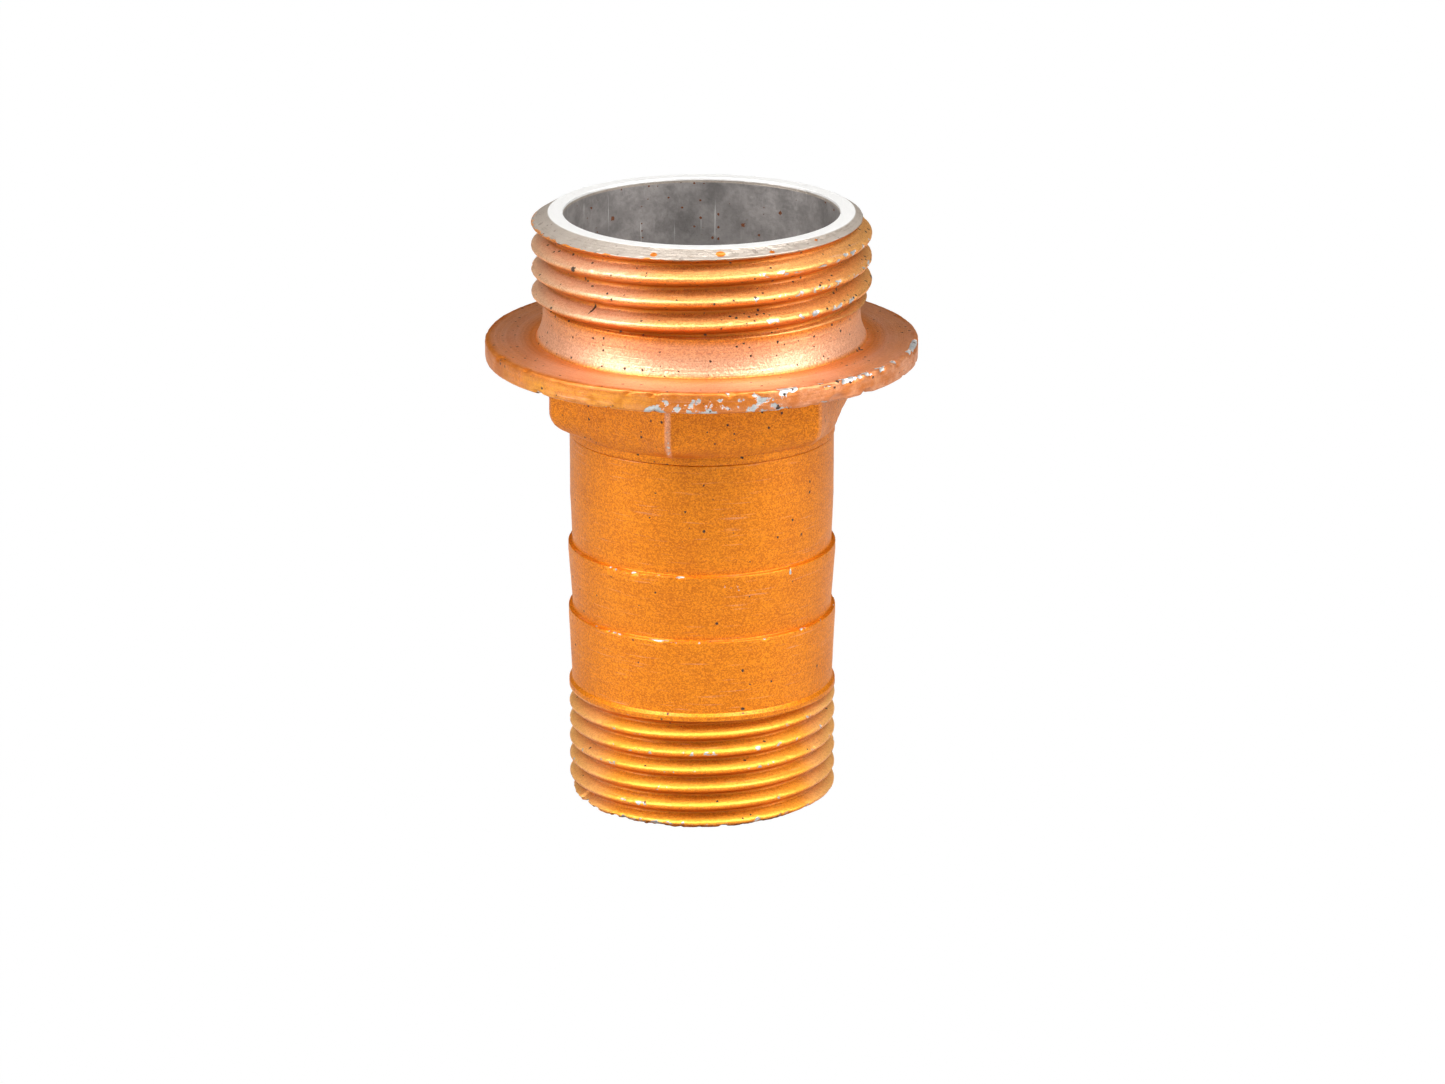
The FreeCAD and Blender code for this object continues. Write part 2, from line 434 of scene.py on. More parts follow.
def paint_colour(n, tone, upper, marks, thin):
    """The paint before any chips: its grain, the painted highlight and painted shade on the thread flanks
    and other faces, the painted pale reflections, and the rubbed places.
    """
    paint = n.mix(n.ramp(tone, -0.05, 1.1), PAINT_DEEP, PAINT_LIGHT)
    if thin:
        rings = n.noise(1300, 3, n.turned, roughness=0.7)
        paint = n.mix(n.ramp(rings, 0.3, 0.7, 0.4 * thin, 1.4 * thin), paint, PAINT_THIN)
    # Painted highlight in the colour upper.
    paint = n.mix(n.times(n.field("upper"), n.ramp(tone, 0.0, 1.0, 0.45, 1.0)), paint, upper)
    # Painted pale reflections and highlights, with rubbed paint and scratches, in one pale colour.
    rubbed_and_sheen = n.times(n.field("rubbed_and_sheen"), n.ramp(tone, 0.0, 1.0, 0.7, 1.15))
    scratches = n.ramp(n.noise(1.0, 2, n.stretched(220, 6500)), 0.62, 0.78, 0.0, 0.26 * marks)
    paint = n.mix(n.larger(rubbed_and_sheen, scratches), paint, PAINT_RUBBED_AND_SHEEN)
    # Painted shade, and deeper paint in a few places.
    return n.mix(n.times(n.field("under"), 0.8), paint, PAINT_SHADE_AND_DEEP)


def coat_specks(n, share, raw):
    """1 in the dark specks and stains, which keep off the mouth land and thin out on raw metal."""
    large = n.pits(620, share, 0.09 + 0.4 * share)
    small = n.pits(1700, 1.7 * share, 0.26)
    stain = n.plus(n.times(n.noise(2400, 3), 0.6), n.field("dirt"))
    specks = n.larger(n.larger(large, small), n.ramp(stain, 0.86, 0.93))
    clean = n.larger(n.field("land"), n.times(raw, 0.5))
    return n.times(specks, n.minus(1.0, clean))


def coat_material(name, upper, speck_share, marks, grain=1.0, roughness=0.5, thin=0.0, chip=1700):
    """Metallic paint over bare metal.

    The mesh fields say where: worn, chips down to grey metal. raw, bare metal. land, the bare ring
    at the mouth, lightened as a painted highlight. dirt, dark stains. upper, a painted highlight in
    the colour upper, as on the upper flanks of the threads. under, painted shade, and deeper paint
    in a few places. rubbed_and_sheen, paint rubbed thin, and painted pale reflections and highlights.
    grain, marks and speck_share are how strong the grain and turning marks are and how many
    specks there are. thin is how much of the metal's own pale colour comes through the paint.
    chip is the noise scale of the chipped places.
    """
    n = Nodes(name)
    mottle = n.noise(330, 3)
    cloud = n.noise(4000, 2)
    _, flake = n.cells(8500)
    lines = n.noise(5200, 2, n.turned)
    peel = n.noise(3300, 2)

    tone = n.plus(n.times(mottle, 0.35), n.times(cloud, 0.65))
    tone = n.plus(tone, n.swing(flake, 0.6 * grain))
    tone = n.plus(tone, n.swing(lines, 0.6 * marks))
    paint = paint_colour(n, tone, upper, marks, thin)

    chipped = n.ramp(n.plus(n.times(n.noise(chip, 4, roughness=0.65), 0.9), n.field("worn")), 0.86, 0.90)
    raw = n.ramp(n.plus(n.times(n.noise(2600, 4, roughness=0.7), 0.5), n.field("raw")), 0.72, 0.76)
    bare_tone = n.plus(n.times(n.noise(900, 4, roughness=0.7), 0.8), n.times(lines, 0.4))
    bare = n.mix(n.ramp(bare_tone, 0.3, 0.65), BARE_DULL, BARE_LIGHT)
    # The mouth land is bare metal painted near white, a painted highlight.
    bare = n.mix(n.field("land"), bare, LAND_BARE_HIGHLIGHT)
    chip_metal = n.mix(n.ramp(bare_tone, 0.3, 0.8), CHIP_DARK, CHIP_LIGHT)
    colour = n.mix(raw, n.mix(chipped, paint, chip_metal), bare)
    specks = coat_specks(n, speck_share, raw)
    n.link(n.mix(specks, colour, PIT), n.shader.inputs["Base Color"])

    metallic = n.times(n.ramp(specks, 0, 1, 1.0, 0.2), n.ramp(raw, 0, 1, 0.78, 0.6))
    n.link(metallic, n.shader.inputs["Metallic"])
    rough = n.plus(n.swing(cloud, 0.12), roughness)
    rough = n.math("ADD", rough, n.times(specks, 0.4), clamp=True)
    n.link(rough, n.shader.inputs["Roughness"])
    n.shader.inputs["Coat Weight"].default_value = 0.22
    n.shader.inputs["Coat Roughness"].default_value = 0.28
    n.shader.inputs["Coat IOR"].default_value = 1.5

    height = n.plus(n.times(flake, 0.25 * grain), n.times(peel, 0.9 * grain))
    height = n.plus(height, n.times(lines, marks))
    height = n.minus(height, n.times(specks, 1.6))
    height = n.minus(height, n.times(chipped, 1.2))
    n.bump(height, COAT_RELIEF)
    return n.material


def bore_material():
    """Bare dull metal of the waterway: dark, with rust specks and pale scratches."""
    n = Nodes("bore_metal")
    cloud = n.noise(420, 5, roughness=0.65)
    fine = n.noise(2500, 3)
    tone = n.plus(n.times(cloud, 0.8), n.times(fine, 0.25))
    colour = n.mix(n.ramp(tone, 0.3, 0.8), BORE_DARK, BORE_LIGHT)
    streak = n.ramp(n.noise(1.0, 3, n.stretched(3200, 160)), 0.66, 0.74)
    colour = n.mix(n.times(streak, 0.6), colour, SCRATCH)
    rust = n.larger(n.pits(750, 0.3, 0.2), n.pits(1700, 0.25, 0.25))
    n.link(n.mix(rust, colour, RUST), n.shader.inputs["Base Color"])
    n.link(n.ramp(rust, 0, 1, 0.7, 0.2), n.shader.inputs["Metallic"])
    n.link(n.ramp(cloud, 0.2, 0.8, 0.34, 0.5), n.shader.inputs["Roughness"])
    n.bump(n.plus(fine, n.times(cloud, 0.8)), BORE_RELIEF)
    return n.material


# ---------------------------------------------------------------- pieces


def spigot():
    """Upper thread with its chamfered mouth, the flared neck, and the part inside the flange."""
    flare_out = FOOT_R - NECK_R
    flare_r = (flare_out**2 + FLARE_H**2) / (2 * flare_out)
    flare_turn = math.asin(FLARE_H / flare_r)
    flare = [
        (NECK_R + flare_r * (1 - math.cos(t)), FLANGE_TOP_Z + FLARE_H - flare_r * math.sin(t))
        for t in np.linspace(flare_turn, 0, 16)
    ]
    major_r = SPIGOT_THREAD["major_r"]
    low = SPIGOT_THREAD["low_z"]
    chamfer_z = TOP_Z - MOUTH_CHAMFER_H
    bore_start_z = TOP_Z - 0.6
    cone_end_r = TAIL_BORE_R + 1.2
    cone_top_z = SKIRT_BOTTOM_Z + SPIGOT_BORE_R - cone_end_r
    plug = [(PLUG_R - 3, SKIRT_BOTTOM_Z), (PLUG_R, SKIRT_BOTTOM_Z), (PLUG_R, FLANGE_TOP_Z - 0.02)]
    plug = rows_of(plug, 1.5)
    neck = rows_of([(FOOT_R, FLANGE_TOP_Z - 0.01), *flare, (NECK_R, low - 0.15)], 0.17)
    thread = rows_of([(major_r, low - 0.06), (major_r, chamfer_z)], THREAD_SPACING)
    mouth = [(MOUTH_LAND_R, TOP_Z, 0.12), (SPIGOT_BORE_R, TOP_Z, 0.1)]
    chamfer = rows_of([(major_r, chamfer_z), *mouth, (SPIGOT_BORE_R, bore_start_z)], 0.1)
    cone = [(SPIGOT_BORE_R, bore_start_z), (SPIGOT_BORE_R, cone_top_z, 0.3), (cone_end_r, SKIRT_BOTTOM_Z)]
    cone = rows_of(cone, 0.8)
    rows = np.concatenate([plug, neck, thread, chamfer[1:], cone[1:]])
    first_thread = len(plug) + len(neck)
    last_outer = first_thread + len(thread) + len(chamfer) - 1
    r, z = grid_of(rows)

    helix, height, above = thread_r(z, SPIGOT_THREAD)
    cut = np.zeros_like(r, bool)
    cut[first_thread:last_outer] = True
    cut &= (r > SPIGOT_ROOT_R) & (z < TOP_Z - 0.01)
    at_neck = 1 - smooth(low - 0.02, low + 0.12, z)
    helix = helix * (1 - at_neck) + NECK_R * at_neck
    r = np.where(cut, np.minimum(r, helix), r)

    spots = points_of(r, z)
    bumps = lumps(spots, 0.7, 11)
    fine = lumps(spots, 0.28, 12)
    crest = np.where(cut, smooth(0.72, 0.97, height), 0) * smooth(low, low + 0.5, z)
    right = camera_side(20, 80, 15)
    nicks = crest * smooth(0.25, 0.7, bumps * 0.7 + fine * 0.5 + 0.35 * right - 0.05)
    r = r - 0.10 * nicks - crest * 0.02 * (1 + bumps)
    r = np.where(cut, r + 0.012 * fine, r)

    # The paint ends at a ragged line near the foot of the chamfer, with a few spots above it.
    edge_z = chamfer_z + 0.12 + 0.10 * lumps(spots, 1.3, 13) + 0.14 * lumps(spots, 0.4, 14)
    raw = smooth(-0.10, 0.10, z - edge_z)
    raw = np.where(np.arange(len(rows))[:, None] >= first_thread, raw, 0)
    patches = np.zeros_like(r)
    for at, at_z, wide, high in CHAMFER_PAINT:
        patches = np.maximum(patches, spot(z, facing(at), at_z, wide, high))
    raw = raw * (1 - patches * 0.9)
    worn = 0.16 * crest + 0.40 * nicks * (0.40 + 0.55 * right)
    dirt = np.zeros_like(r)
    for strength, at, at_z, wide, high in SPIGOT_DIRT:
        dirt = dirt + strength * spot(z, facing(at), at_z, wide, high)

    # From a little way inside the mouth, the rows are bore metal.
    split = np.where(np.arange(len(rows)) >= last_outer - 2, 1, 0)
    land = 1 - smooth(MOUTH_LAND_R - 0.02, MOUTH_LAND_R + 0.12, r)
    upper, under = flanks(above)
    above_foot = smooth(FLANGE_TOP_Z, FLANGE_TOP_Z + 0.5, z)
    flared = np.where(cut, 0, 1 - smooth(low - 1.0, low - 0.1, z)) * above_foot
    low_flare = 1 - smooth(FLANGE_TOP_Z + 1, FLANGE_TOP_Z + 3, z)
    on_thread = cut & (z > low)
    left = camera_side(-100, -35, 25)
    # Painted pale highlight on the left of the thread's upper flanks and over the flared neck, strongest
    # low on the flare.
    rubbed_and_sheen = np.where(on_thread, 0.40 * left * upper, flared * (0.22 + 0.18 * low_flare))
    # Painted highlight on the thread's upper flanks, and a little on the flared neck.
    upper = np.where(on_thread, upper * 0.8, flared * 0.2)
    # Painted shade on the lower flanks and roots and in a band at the neck's foot; deeper paint on the
    # chamfer's paint patches.
    under = np.where(cut & (z > low + 0.1), under, 0.35 * (1 - above_foot)) + patches
    fields = {
        "worn": worn,
        "raw": raw,
        "dirt": dirt,
        "land": land * (z > TOP_Z - 0.3),
        "upper": upper,
        "under": under,
        "rubbed_and_sheen": rubbed_and_sheen,
    }
    coat = coat_material(
        "spigot_coat", FLANK_HIGHLIGHT_PALE, speck_share=0.26, marks=0.9, grain=1.5, roughness=0.47, thin=0.10
    )
    materials = [coat, bore_material()]
    make_piece("spigot_threaded", r, z, materials, "threaded_spigot", fields, split)


def flange():
    """Round flange with a dented, chipped rim."""
    round_r = 0.38
    rim_inner_r = FLANGE_R - 0.8
    corners = [
        (TAIL_BORE_R + SKIRT_BOTTOM_Z - FLANGE_BOTTOM_Z, SKIRT_BOTTOM_Z),
        (TAIL_BORE_R + TENON_TOP_Z - FLANGE_BOTTOM_Z, TENON_TOP_Z),
        (TENON_R, TENON_TOP_Z),
        (TENON_R, FLANGE_BOTTOM_Z),
    ]
    inside = rows_of(corners, 2.0)
    below = rows_of([(TENON_R, FLANGE_BOTTOM_Z), (rim_inner_r, FLANGE_BOTTOM_Z)], 0.35)
    rim = [
        (rim_inner_r, FLANGE_BOTTOM_Z),
        (FLANGE_R, FLANGE_BOTTOM_Z, round_r),
        (FLANGE_R, FLANGE_TOP_Z, round_r),
        (rim_inner_r, FLANGE_TOP_Z),
    ]
    rim = rows_of(rim, THREAD_SPACING)
    face = rows_of([(rim_inner_r, FLANGE_TOP_Z), (PLUG_R, FLANGE_TOP_Z)], 0.16)
    ledge_r = corners[0][0] + 0.5
    back = rows_of([(PLUG_R, FLANGE_TOP_Z), (PLUG_R, SKIRT_BOTTOM_Z), (ledge_r, SKIRT_BOTTOM_Z)], 1.5)
    rows = np.concatenate([inside, below[1:], rim[1:], face[1:], back[1:]])
    r, z = grid_of(rows)
    spots = points_of(r, z)
    big, mid, fine = lumps(spots, 3.0, 21), lumps(spots, 0.9, 22), lumps(spots, 0.33, 23)
    on_rim = smooth(FLANGE_R - 1.0, FLANGE_R - 0.3, r)
    upper = on_rim * smooth(FLANGE_TOP_Z - 0.75, FLANGE_TOP_Z - 0.1, z)
    lower = on_rim * (1 - smooth(FLANGE_BOTTOM_Z + 0.1, FLANGE_BOTTOM_Z + 0.7, z))

    front_patch = camera_side(-13, 21, 3)
    right_edge = camera_side(24, 88, 6)
    left_low = camera_side(-48, -10, 5)
    chips_up = mid + 0.6 * fine + 0.5 * right_edge + 0.25 * front_patch - 0.25
    chips_low = mid + 0.6 * fine + 0.4 * left_low + 0.35 * right_edge - 0.35
    nicks_up = upper * smooth(0.1, 0.8, chips_up)
    nicks_low = lower * smooth(0.1, 0.8, chips_low)
    r = r - 0.16 * nicks_up - 0.16 * nicks_low - on_rim * (0.05 * (1 + big) + 0.02 * (1 + mid))
    z = z - 0.12 * nicks_up + 0.14 * nicks_low
    dents = spot(z, facing(38), FLANGE_BOTTOM_Z, 1.0, 0.7, 21)
    dents = dents + spot(z, facing(49), FLANGE_BOTTOM_Z, 0.8, 0.5, 21)
    r = r - 0.28 * dents * on_rim
    r = r + on_rim * 0.012 * fine
    top_of_rim = (z > FLANGE_TOP_Z - 0.3) & (on_rim > 0)
    z = np.where(top_of_rim, np.minimum(z + 0.01 * fine, FLANGE_TOP_Z), z)

    side = on_rim * (1 - 0.5 * upper)
    worn = 0.40 * front_patch * side + 0.22 * on_rim * right_edge * (upper + lower)
    worn += 0.42 * nicks_up * (0.5 + 0.5 * right_edge) + 0.45 * nicks_low
    worn += 0.25 * lower * camera_side(-30, -12, 3)
    dirt = 0.25 * lower * camera_side(-40, 20, 8)
    # Painted highlight on the left of the rim's side, towards the camera, in uneven patches.
    left_rim_highlight = on_rim * (1 - upper) * camera_side(-62, -15, 8)
    on_face = (z > FLANGE_TOP_Z - 0.2) * (1 - on_rim)
    # Painted pale reflection on the flange's upper face away from the neck's foot, and painted pale light
    # on the right of the rim.
    rubbed_and_sheen = on_face * (0.24 + 0.12 * big) * smooth(PLUG_R + 0.5, PLUG_R + 2.2, r)
    rubbed_and_sheen += 0.25 * on_rim * camera_side(24, 100, 10)
    # Painted shade on the rim's side, less where it takes the painted highlight, with mottled darker
    # paint; painted shade on the upper face.
    shade_and_mottle = on_rim * (0.75 - 0.3 * left_rim_highlight + 0.5 * mid + 0.3 * fine) + 0.38 * on_face
    split = np.zeros(len(rows), int)
    split[: len(inside) - 1] = 1
    split[-2:] = 1
    coat = coat_material("flange_coat", RIM_HIGHLIGHT_GOLD, speck_share=0.16, marks=1.0, thin=0.25, chip=1000)
    fields = {
        "worn": worn,
        "raw": np.zeros_like(r),
        "dirt": dirt,
        "upper": left_rim_highlight * (0.45 + 0.5 * big + 0.5 * mid),
        "under": shade_and_mottle,
        "rubbed_and_sheen": rubbed_and_sheen,
    }
    materials = [coat, bpy.data.materials["bore_metal"]]
    make_piece("flange_disc", r, z, materials, "flange_ring", fields, split)


def hex_radius():
    """Distance from the axis to the hex's side in each column, its corners slightly rounded."""
    total = np.zeros_like(THETA)
    for k in range(6):
        facet = np.maximum(np.cos(THETA - k * np.pi / 3), 1e-6)
        total += np.where(facet > 0.4, (facet / HEX_HALF_FLATS) ** HEX_SHARPNESS, 0)
    return total ** (-1 / HEX_SHARPNESS)


def hex_body():
    """Cast hex that turns under to the round collar on a rounded shoulder."""
    side_r = hex_radius()
    drop = FLANGE_BOTTOM_Z - HEX_BOTTOM_Z
    corner_r = HEX_HALF_FLATS / math.cos(math.pi / 6)
    cornered = smooth(HEX_HALF_FLATS + 0.2, corner_r - 0.3, side_r)
    # t runs from 0 at the flange to 1 at the hex's foot, in steps that grow finer on the way.
    # The hex is full size down to turn_from, which is lower at the corners.
    turn_from = 0.50 + 0.12 * cornered
    levels = np.concatenate([np.linspace(0, 0.5, 20), 1 - 0.5 * np.linspace(1, 0, 46)[1:] ** 1.6])
    r_rows, z_rows = [], []
    for t in levels:
        turn = np.clip((t - turn_from) / (1 - turn_from), 0, 1)
        bulge = np.sqrt(np.clip(1 - turn**2, 0, 1))
        r_rows.append(COLLAR_R + (side_r - COLLAR_R) * bulge)
        z_rows.append(np.full(STEPS_ROUND, FLANGE_BOTTOM_Z - drop * t))
    collar = [(COLLAR_R, z) for z in np.linspace(HEX_BOTTOM_Z, COLLAR_BOTTOM_Z + 0.12, 10)[1:]]
    collar += [(COLLAR_R - 0.03, COLLAR_BOTTOM_Z + 0.03), (COLLAR_R - 0.1, COLLAR_BOTTOM_Z)]
    collar += [(TENON_R, COLLAR_BOTTOM_Z), (TENON_R, FLANGE_BOTTOM_Z)]
    for collar_r, collar_z in collar:
        r_rows.append(np.full(STEPS_ROUND, collar_r))
        z_rows.append(np.full(STEPS_ROUND, collar_z))
    r, z = np.array(r_rows), np.array(z_rows)
    outer = np.arange(len(r))[:, None] < len(r) - 3
    spots = points_of(r, z)
    rough = 0.045 * lumps(spots, 1.6, 31) + 0.03 * lumps(spots, 0.6, 32)
    rough = rough + 0.016 * lumps(spots, 0.3, 33)
    on_hex = smooth(HEX_BOTTOM_Z - 0.4, HEX_BOTTOM_Z + 0.8, z)
    r = r + np.where(outer, (rough - 0.06) * on_hex, 0)

    edge = smooth(side_r.max() - 0.17, side_r.max() - 0.03, side_r) * on_hex * outer
    front = window(FRONT_CORNER - 3, FRONT_CORNER + 3, 2)
    worn = edge * (0.17 + 0.17 * front + 0.12 * lumps(spots, 0.6, 34))
    rubbed_and_sheen = edge * (0.10 + 0.20 * front)
    # Painted shade on the hex's foot where it turns under, darkest in the crease right of the front
    # corner.
    low_edge = outer * (1 - smooth(HEX_BOTTOM_Z + 0.1, HEX_BOTTOM_Z + 1.4, z)) * on_hex
    crease = window(FRONT_CORNER + 3, FRONT_CORNER + 16, 6)
    under = low_edge * (0.5 + 0.7 * crease) * (1 - edge)
    # Dark specks high on the hex, just under the flange, on the side towards the camera.
    high_on_hex = smooth(FLANGE_BOTTOM_Z - 1.6, FLANGE_BOTTOM_Z - 0.2, z)
    dirt = 0.22 * high_on_hex * camera_side(-60, 25, 10)
    coat = coat_material(
        "hex_coat", PAINT_LIGHT, speck_share=0.16, marks=0.15, grain=1.3, roughness=0.56
    )
    fields = {"worn": worn, "raw": np.zeros_like(r), "dirt": dirt, "under": under, "rubbed_and_sheen": rubbed_and_sheen}
    # The rows run downwards here, so they are turned round for the faces to point outwards.
    fields = {field: values[::-1] for field, values in fields.items()}
    make_piece("hex_nut_body", r[::-1], z[::-1], [coat], "hex_collar", fields)


def barrel_rows():
    """Outline of the tail from just over its shoulder, past both barbs, up to the hex's collar."""
    upper_barb, lower_barb = BARB_Z
    runs = []
    start = (SHOULDER_ROOT_R + 0.01, SHOULDER_Z + 0.5)
    for edge_z in (lower_barb, upper_barb):
        lip = (BARB_R, edge_z - BARB_LIP)
        end = (BARB_ROOT_R + 0.02, edge_z + 0.5)
        barb = [lip, (BARB_R, edge_z, 0.14), (BARB_ROOT_R, edge_z + 0.05, 0.12), end]
        runs += [rows_of([start, lip], 0.3), rows_of(barb, 0.07)]
        start = end
    land_top = (CLAMP_LAND_R, COLLAR_BOTTOM_Z - 0.3)
    runs.append(rows_of([start, (CLAMP_LAND_R, CLAMP_LAND_LOW_Z), land_top], 0.3))
    groove = [(CLAMP_LAND_R, COLLAR_BOTTOM_Z - 0.08), (CLAMP_LAND_R - 0.16, COLLAR_BOTTOM_Z)]
    runs.append(rows_of([land_top, *groove], 0.08))
    return [run[1:] for run in runs]


def tail():
    """Hose tail: lower thread with its ragged end, shoulder, two barbs, clamp land and tenon."""
    major_r = TAIL_THREAD["major_r"]
    thread_top = TAIL_THREAD["high_z"] + 0.05
    # The ragged end reaches in to wall_r, or to end_edge_r where it moves up or is bitten off.
    # Its wear reaches in to face_r, and the end face is bare metal out to rim_r.
    end_edge_r = 11.9
    wall_r = 11.4
    face_r = 11.0
    rim_r = 12.3
    end = rows_of([(TAIL_BORE_R + 0.2, 0), (major_r - 0.5, 0, 0.1), (major_r, 0.5)], 0.12)
    thread = rows_of([(major_r, 0.5), (major_r, thread_top)], THREAD_SPACING)
    shoulder = [
        (major_r, thread_top),
        (major_r, SHOULDER_Z - 0.29, 0.12),
        (SHOULDER_ROOT_R, SHOULDER_Z, 0.1),
        (SHOULDER_ROOT_R + 0.01, SHOULDER_Z + 0.5),
    ]
    shoulder = rows_of(shoulder, 0.08)
    inside = rows_of(
        [
            (TENON_R, COLLAR_BOTTOM_Z + 0.01),
            (TENON_R, TENON_TOP_Z),
            (TAIL_BORE_R + TENON_TOP_Z - FLANGE_BOTTOM_Z, TENON_TOP_Z),
            (TAIL_BORE_R, FLANGE_BOTTOM_Z),
            (TAIL_BORE_R, 0.3),
            (TAIL_BORE_R + 0.1, 0.06),
        ],
        2.0,
    )
    outer_rows = np.concatenate([end, thread[1:], shoulder[1:], *barrel_rows()])
    rows = np.concatenate([outer_rows, inside])
    r, z = grid_of(rows)
    is_outer = np.arange(len(rows))[:, None] < len(outer_rows)
    helix, height, above = thread_r(z, TAIL_THREAD)
    at_top = smooth(thread_top - 0.15, thread_top, z)
    helix = helix * (1 - at_top) + r * at_top
    cut = is_outer & (z <= thread_top) & (r > end_edge_r)
    r = np.where(cut, np.minimum(r, helix), r)

    spots = points_of(r, z)
    big, mid, fine = lumps(spots, 2.6, 41), lumps(spots, 0.8, 42), lumps(spots, 0.3, 43)
    crest = np.where(cut, smooth(0.70, 0.96, height), 0)
    flats = smooth(0.35, 0.8, mid + 0.5 * fine)
    r = r - crest * (0.03 + 0.09 * flats)
    ragged = is_outer * (1 - smooth(0.1, 0.9, z))
    r = r - ragged * (0.10 * (1 + mid) + 0.10 * (1 + fine)) * (r > wall_r)
    z = z + ragged * np.maximum(0, 0.16 * mid + 0.12 * fine) * (r > end_edge_r)
    bite = spot(z, facing(-66), 0.5, 0.9, 0.9, 13)
    r = r - 0.3 * bite * is_outer * (r > end_edge_r)

    barb_edge = np.zeros_like(r)
    for edge_z in BARB_Z:
        near_edge = smooth(edge_z - 0.45, edge_z - 0.02, z) * (1 - smooth(edge_z, edge_z + 0.06, z))
        barb_edge = np.maximum(barb_edge, near_edge)
    barb_edge = barb_edge * is_outer
    left_edge = camera_side(-52, -8, 5)
    chips = barb_edge * smooth(0.2, 0.7, mid * 0.7 + fine * 0.6 + 0.35 * left_edge - 0.1)
    r = r - 0.13 * chips
    r = r + np.where(is_outer & ~cut, 0.012 * big + 0.006 * fine - 0.02, 0)

    front = camera_side(-32, 28, 10)
    worn = crest * (0.14 + 0.14 * front + 0.28 * flats) + chips * 0.52
    worn = worn + ragged * (0.1 + 0.15 * mid) * (r > face_r)
    worn = worn + 0.30 * spot(z, facing(12), 24.5, 2.6, 0.5, 13)
    worn = worn + 0.55 * spot(z, facing(41), 25.2, 0.25, 0.3, 13)
    worn = np.where(is_outer, worn, 0)
    dirt = 0.16 * ragged + 0.4 * spot(z, facing(50), 9.6, 0.3, 0.3, 13)
    raw = np.where(is_outer & (z < 0.04) & (r < rim_r), 1.0, 0.0)
    split = np.where(np.arange(len(rows)) >= len(outer_rows), 1, 0)
    # Painted highlight on the thread's upper flanks and painted shade on its lower flanks and roots.
    upper, under = flanks(above)
    # Painted pale reflection on the thread where it turns away from the camera at left and right.
    rubbed_and_sheen = 0.18 * cut * (camera_side(-95, -58, 20) + camera_side(62, 95, 15))
    fields = {
        "worn": worn,
        "raw": raw,
        "dirt": dirt,
        "upper": upper * cut,
        "under": under * cut,
        "rubbed_and_sheen": rubbed_and_sheen,
    }
    coat = coat_material(
        "tail_coat", FLANK_HIGHLIGHT_YELLOW, speck_share=0.03, marks=0.6, grain=1.1, roughness=0.54
    )
    materials = [coat, bpy.data.materials["bore_metal"]]
    make_piece("barbed_tail", r, z, materials, "hose_tail", fields, split)


spigot()
flange()
hex_body()
tail()


# ---------------------------------------------------------------- studio


def studio_plane(name, half, z, colour, glow):
    """A square of paper, half its width from the middle to each side, that may also glow."""
    mesh = bpy.data.meshes.new(name)
    corners = [(-half, -half, z), (half, -half, z), (half, half, z), (-half, half, z)]
    mesh.from_pydata(corners, [], [(0, 1, 2, 3)])
    plane = bpy.data.objects.new(name, mesh)
    bpy.context.scene.collection.objects.link(plane)
    material = bpy.data.materials.new(name)
    material.use_nodes = True
    shader = material.node_tree.nodes["Principled BSDF"]
    shader.inputs["Base Color"].default_value = (*colour, 1)
    shader.inputs["Roughness"].default_value = 0.9
    shader.inputs["Emission Color"].default_value = (1, 1, 1, 1)
    shader.inputs["Emission Strength"].default_value = glow
    mesh.materials.append(material)
    return plane


def clear_from_below(plane):
    """Let the camera look up through the plane, for views of the underside."""
    tree = plane.data.materials[0].node_tree
    side = tree.nodes.new("ShaderNodeNewGeometry")
    clear = tree.nodes.new("ShaderNodeBsdfTransparent")
    either = tree.nodes.new("ShaderNodeMixShader")
    tree.links.new(side.outputs["Backfacing"], either.inputs[0])
    tree.links.new(tree.nodes["Principled BSDF"].outputs[0], either.inputs[1])
    tree.links.new(clear.outputs[0], either.inputs[2])
    tree.links.new(either.outputs[0], tree.nodes["Material Output"].inputs["Surface"])


def soft_light(name, degrees_right, elevation, height, radiance):
    """A rectangular soft box aimed at the fitting, its bearing counted from the camera's."""
    bearing = math.radians(facing(degrees_right))
    up = math.radians(elevation)
    distance, width = 0.5, 0.20
    aim = Vector((0, 0, 0.03))
    out = Vector((math.cos(bearing) * math.cos(up), math.sin(bearing) * math.cos(up), math.sin(up)))
    data = bpy.data.lights.new(name, "AREA")
    data.shape = "RECTANGLE"
    data.size, data.size_y = width, height
    data.energy = radiance * math.pi * width * height
    light = bpy.data.objects.new(name, data)
    light.location = aim + out * distance
    light.rotation_mode = "QUATERNION"
    light.rotation_quaternion = out.to_track_quat("Z", "Y")
    bpy.context.scene.collection.objects.link(light)


def camera_only(stage_piece):
    """Keep a stage piece out of reflections, shadows and bounced light."""
    for ray in ("visible_diffuse", "visible_glossy", "visible_transmission", "visible_shadow"):
        setattr(stage_piece, ray, False)


def white_room():
    """A white shell round everything that only the camera sees, so that no view ends in grey."""
    bpy.ops.mesh.primitive_uv_sphere_add(segments=32, ring_count=16, radius=5.0)
    shell = bpy.context.object
    shell.name = "backdrop"
    material = bpy.data.materials.new("backdrop")
    material.use_nodes = True
    shader = material.node_tree.nodes["Principled BSDF"]
    shader.inputs["Base Color"].default_value = (0, 0, 0, 1)
    shader.inputs["Emission Color"].default_value = (1, 1, 1, 1)
    shader.inputs["Emission Strength"].default_value = 1.0
    shell.data.materials.append(material)
    camera_only(shell)


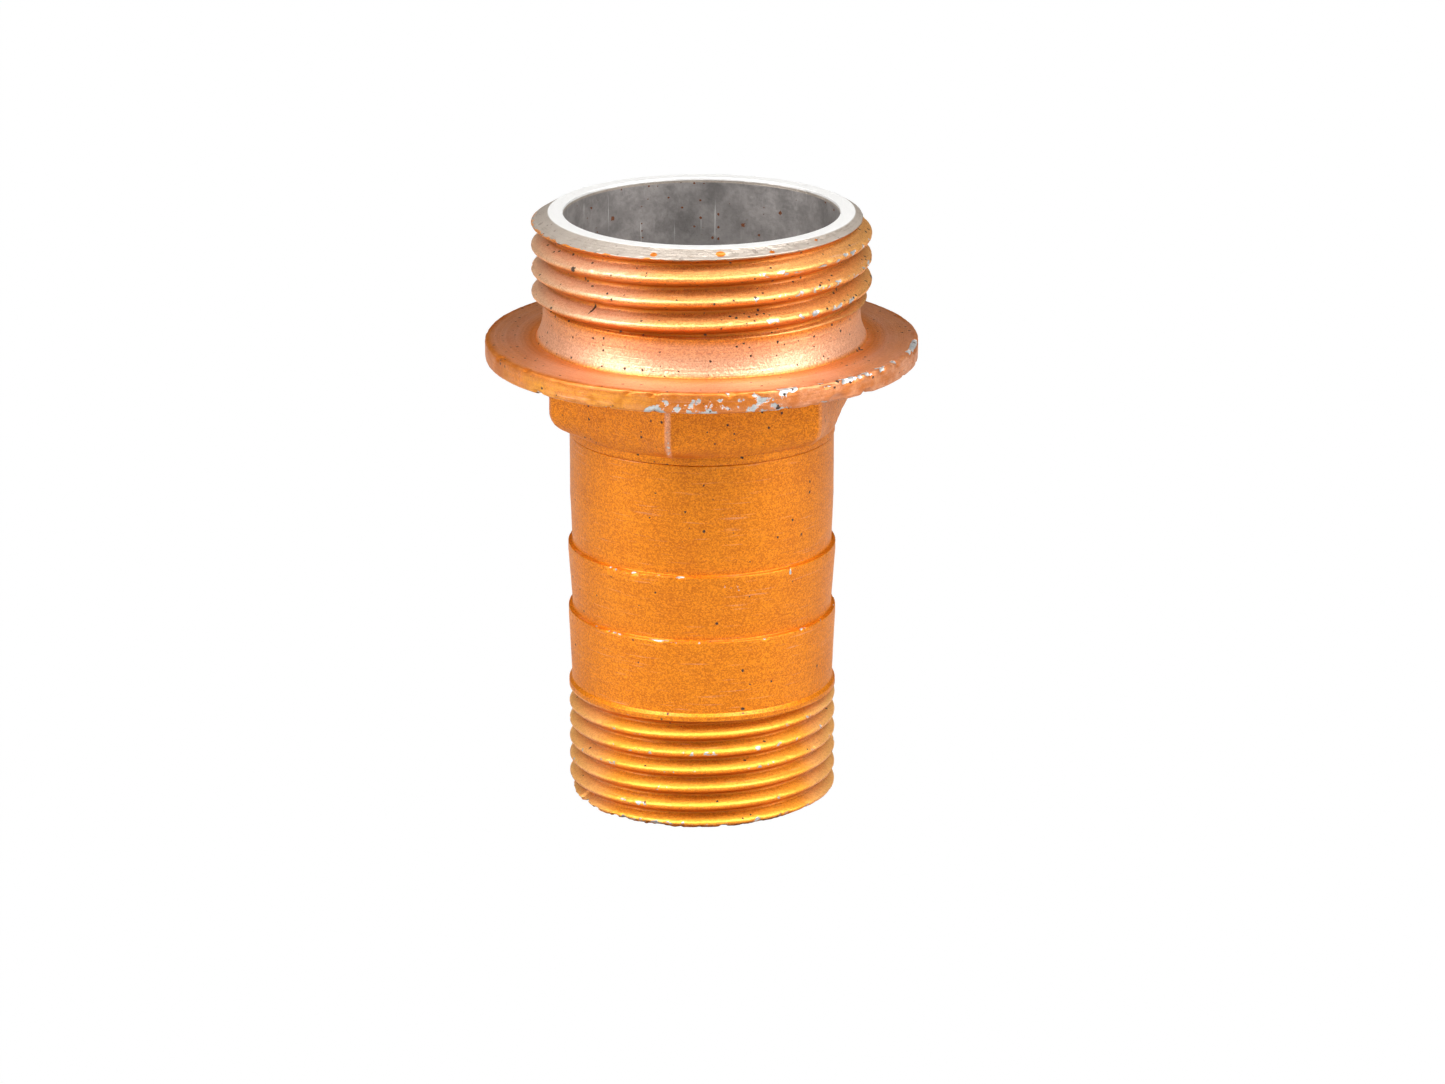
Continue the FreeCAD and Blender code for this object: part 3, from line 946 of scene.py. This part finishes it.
def studio_world(front, rear):
    """Dim room light from the camera's side and the bright sweep of paper behind."""
    world = bpy.data.worlds.new("studio")
    bpy.context.scene.world = world
    world.use_nodes = True
    tree = world.node_tree
    sky = tree.nodes["Background"]
    coords = tree.nodes.new("ShaderNodeTexCoord")
    towards = tree.nodes.new("ShaderNodeVectorMath")
    towards.operation = "DOT_PRODUCT"
    bearing = math.radians(facing(180))
    towards.inputs[1].default_value = (math.cos(bearing), math.sin(bearing), 0.6)
    tree.links.new(coords.outputs["Generated"], towards.inputs[0])
    fade = tree.nodes.new("ShaderNodeMapRange")
    fade.interpolation_type = "SMOOTHSTEP"
    fade.inputs["From Min"].default_value = -0.5
    fade.inputs["From Max"].default_value = 0.7
    fade.inputs["To Min"].default_value = front
    fade.inputs["To Max"].default_value = rear
    tree.links.new(towards.outputs["Value"], fade.inputs["Value"])
    tree.links.new(fade.outputs["Result"], sky.inputs["Strength"])


# One floor bounces light up at the fitting, and the camera sees the white one just below it.
lit_floor = studio_plane("floor", 2.0, 0.0, (0.45, 0.45, 0.45), 0.0)
lit_floor.visible_camera = False
floor_seen = studio_plane("floor_seen", 3.0, -0.0001, (0.0, 0.0, 0.0), 1.0)
camera_only(floor_seen)
clear_from_below(floor_seen)
white_room()
studio_world(0.22, 0.78)

# The low boxes draw the bands down the barrel, and the high ones light the thread flanks.
soft_light("left_box", -64, 24, height=0.44, radiance=6.5)
soft_light("right_box", 66, 24, height=0.44, radiance=6.5)
soft_light("left_high_box", -50, 57, height=0.30, radiance=14.5)
soft_light("right_high_box", 52, 57, height=0.30, radiance=14.5)

bpy.context.scene.view_settings.view_transform = "Standard"

# The lens and the place of the camera give the photograph's framing.
camera_data = bpy.data.cameras.new("camera")
camera_data.sensor_width = 36.0
camera_data.lens = CAMERA_LENS
camera_data.clip_start = 0.05
camera = bpy.data.objects.new("camera", camera_data)
bpy.context.scene.collection.objects.link(camera)
azimuth, elevation = math.radians(CAMERA_AZIMUTH), math.radians(CAMERA_ELEVATION)
right = Vector((math.cos(azimuth), math.sin(azimuth), 0))
level_back = Vector((math.sin(azimuth), -math.cos(azimuth), 0))
back = level_back * math.cos(elevation) + Vector((0, 0, math.sin(elevation)))
aim = Vector((0, 0, CAMERA_AIM_Z)) + right * CAMERA_AIM_RIGHT
camera.location = (aim + back * CAMERA_DISTANCE) * MM
camera.rotation_mode = "QUATERNION"
camera.rotation_quaternion = back.to_track_quat("Z", "Y")
bpy.context.scene.camera = camera
